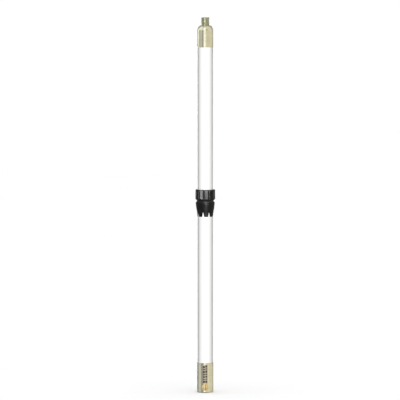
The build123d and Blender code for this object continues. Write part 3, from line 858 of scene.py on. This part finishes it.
def camera_key(floor):
    """Main light, on the camera's stand."""
    middle = Vector((0, 0, VIEW_CENTRE.z))
    place = around(0, CAMERA_ELEVATION, KEY_DISTANCE, middle)
    key = panel("key", place, middle, KEY_WIDTH, KEY_HEIGHT, KEY_POWER)
    key.visible_glossy = False
    ride_with_camera(key)
    reaches(key, [floor], "EXCLUDE")


def strip(name, heading, elevation, target, width, height, power, pieces):
    """Light that only gleams, and only on these pieces."""
    place = around(heading, elevation, STRIP_DISTANCE, target)
    light = panel(name, place, target, width, height, power)
    light.visible_diffuse = False
    reaches(light, pieces)
    return light


def top_lights():
    """A broad panel that gleams on the rounded shoulder, and a tall strip that draws a line down the stud."""
    top = Vector((0, 0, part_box("top_ferrule")[1].z))
    broad = panel("shoulder_panel", around(-70, 37, 1.6, top), top, width=3.4, height=1.7, power=12)
    broad.visible_diffuse = False
    line = panel("stud_strip", around(-22, 0, 0.5, top), top, width=0.05, height=1.5, power=1.6)
    line.visible_diffuse = False
    reaches(line, [bpy.data.objects["stud"]])


def ferrule_strips():
    """Tall dim panels, each mirrored by one ferrule only, so that the two don't look alike."""
    for name, node, heading, width, power in FERRULE_STRIPS:
        low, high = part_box(node)
        middle = Vector((0, 0, (low.z + high.z) / 2))
        strip(name, heading, 0, middle, width, FERRULE_STRIP_H, power, [frame["nodes"][node]])


def collar_strips():
    """Lights that gleam on two ribs and the lower ring's shoulder. Seen from behind, they would glare."""
    low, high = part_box("tuning_ring")
    collar = Vector((0, 0, (low.z + high.z) / 2))
    for name, heading, elevation, width, height, power, rings in COLLAR_STRIPS:
        pieces = [bpy.data.objects[ring] for ring in rings]
        ride_with_camera(strip(name, heading, elevation, collar, width, height, power, pieces))


def studio_world():
    """White to the camera, a weak fill to matt surfaces, and upright pale panels in reflections."""
    world = bpy.data.worlds.new("studio")
    bpy.context.scene.world = world
    w = Nodes(world)
    direction = w.add("ShaderNodeTexCoord").outputs["Generated"]
    x, y, z = w.add("ShaderNodeSeparateXYZ", {"Vector": direction}).outputs
    heading = w.math("ARCTAN2", x, w.math("MULTIPLY", y, -1))
    ramp = w.add("ShaderNodeValToRGB", {"Fac": w.span(heading, -pi, pi)})
    elements = ramp.color_ramp.elements
    elements.remove(elements[-1])
    for i, (towards, level) in enumerate(REFLECTED):
        place = (towards + 180) / 360
        element = elements[0] if i == 0 else elements.new(place)
        element.position = place
        tint = WARM if towards > 0 else COOL
        element.color = (*(channel * level / 2 for channel in tint), 1)  # halved, to stay below 1
    darker_below = w.span(z, -0.4, -0.12, 0.6, 1.0)
    high_behind = w.math("MULTIPLY", w.span(y, 0.6, 0.9), w.span(z, 0.0, 0.03))
    darker_behind = w.span(high_behind, 0.0, 1.0, 1.0, 0.2)
    shade = w.math("MULTIPLY", darker_below, darker_behind)
    path = w.add("ShaderNodeLightPath")
    reflected = path.outputs["Is Glossy Ray"]
    strength = w.span(reflected, 0.0, 1.0, MATT_FILL, w.math("MULTIPLY", shade, 2.0))
    strength = w.span(path.outputs["Is Camera Ray"], 0.0, 1.0, strength, 1.0)
    colour = w.mix(reflected, (1.0, 1.0, 1.0), ramp.outputs["Color"])
    background = w.add("ShaderNodeBackground", {"Color": colour, "Strength": strength})
    output = w.add("ShaderNodeOutputWorld")
    w.tree.links.new(background.outputs[0], output.inputs["Surface"])


def pale_floor():
    """Floor that is seen from above only, with its own overhead light."""
    s = Shader("floor_look")
    tone = s.mix(s.noise(3.0, 2.0), (0.86, 0.86, 0.86), (0.88, 0.88, 0.88))
    matt = s.add("ShaderNodeBsdfDiffuse", {"Color": tone}).outputs[0]
    clear = s.add("ShaderNodeBsdfTransparent").outputs[0]
    side = s.add("ShaderNodeNewGeometry").outputs["Backfacing"]
    both = s.add("ShaderNodeMixShader", {0: side, 1: matt, 2: clear})
    s.tree.links.new(both.outputs[0], s.add("ShaderNodeOutputMaterial").inputs["Surface"])
    mesh = bpy.data.meshes.new("floor")
    r = FLOOR_REACH
    mesh.from_pydata([(-r, -r, 0), (r, -r, 0), (r, r, 0), (-r, r, 0)], [], [(0, 1, 2, 3)])
    mesh.materials.append(s.owner)
    floor = bpy.data.objects.new("floor", mesh)
    bpy.context.scene.collection.objects.link(floor)
    floor.visible_glossy = False
    floor.visible_diffuse = False
    floor.visible_shadow = False
    data = bpy.data.lights.new("overhead", "SUN")
    data.energy = FLOOR_LIGHT
    data.angle = radians(SUN_SPREAD)
    sun = bpy.data.objects.new("overhead", data)
    bpy.context.scene.collection.objects.link(sun)
    reaches(sun, [floor])
    return floor


def long_lens_camera():
    """Distant camera, a little above the antenna, as in the photograph."""
    data = bpy.data.cameras.new("camera")
    data.sensor_width = SENSOR
    data.lens = SENSOR * CAMERA_DISTANCE / VIEW_HEIGHT
    data.clip_end = 200
    camera = bpy.data.objects.new("camera", data)
    bpy.context.scene.collection.objects.link(camera)
    camera.location = around(0, CAMERA_ELEVATION, CAMERA_DISTANCE, VIEW_CENTRE)
    camera.rotation_euler = (VIEW_CENTRE - camera.location).to_track_quat("-Z", "Y").to_euler()
    bpy.context.scene.camera = camera


studio_world()
long_lens_camera()
camera_key(pale_floor())
top_lights()
ferrule_strips()
collar_strips()
bpy.context.scene.view_settings.view_transform = "Standard"
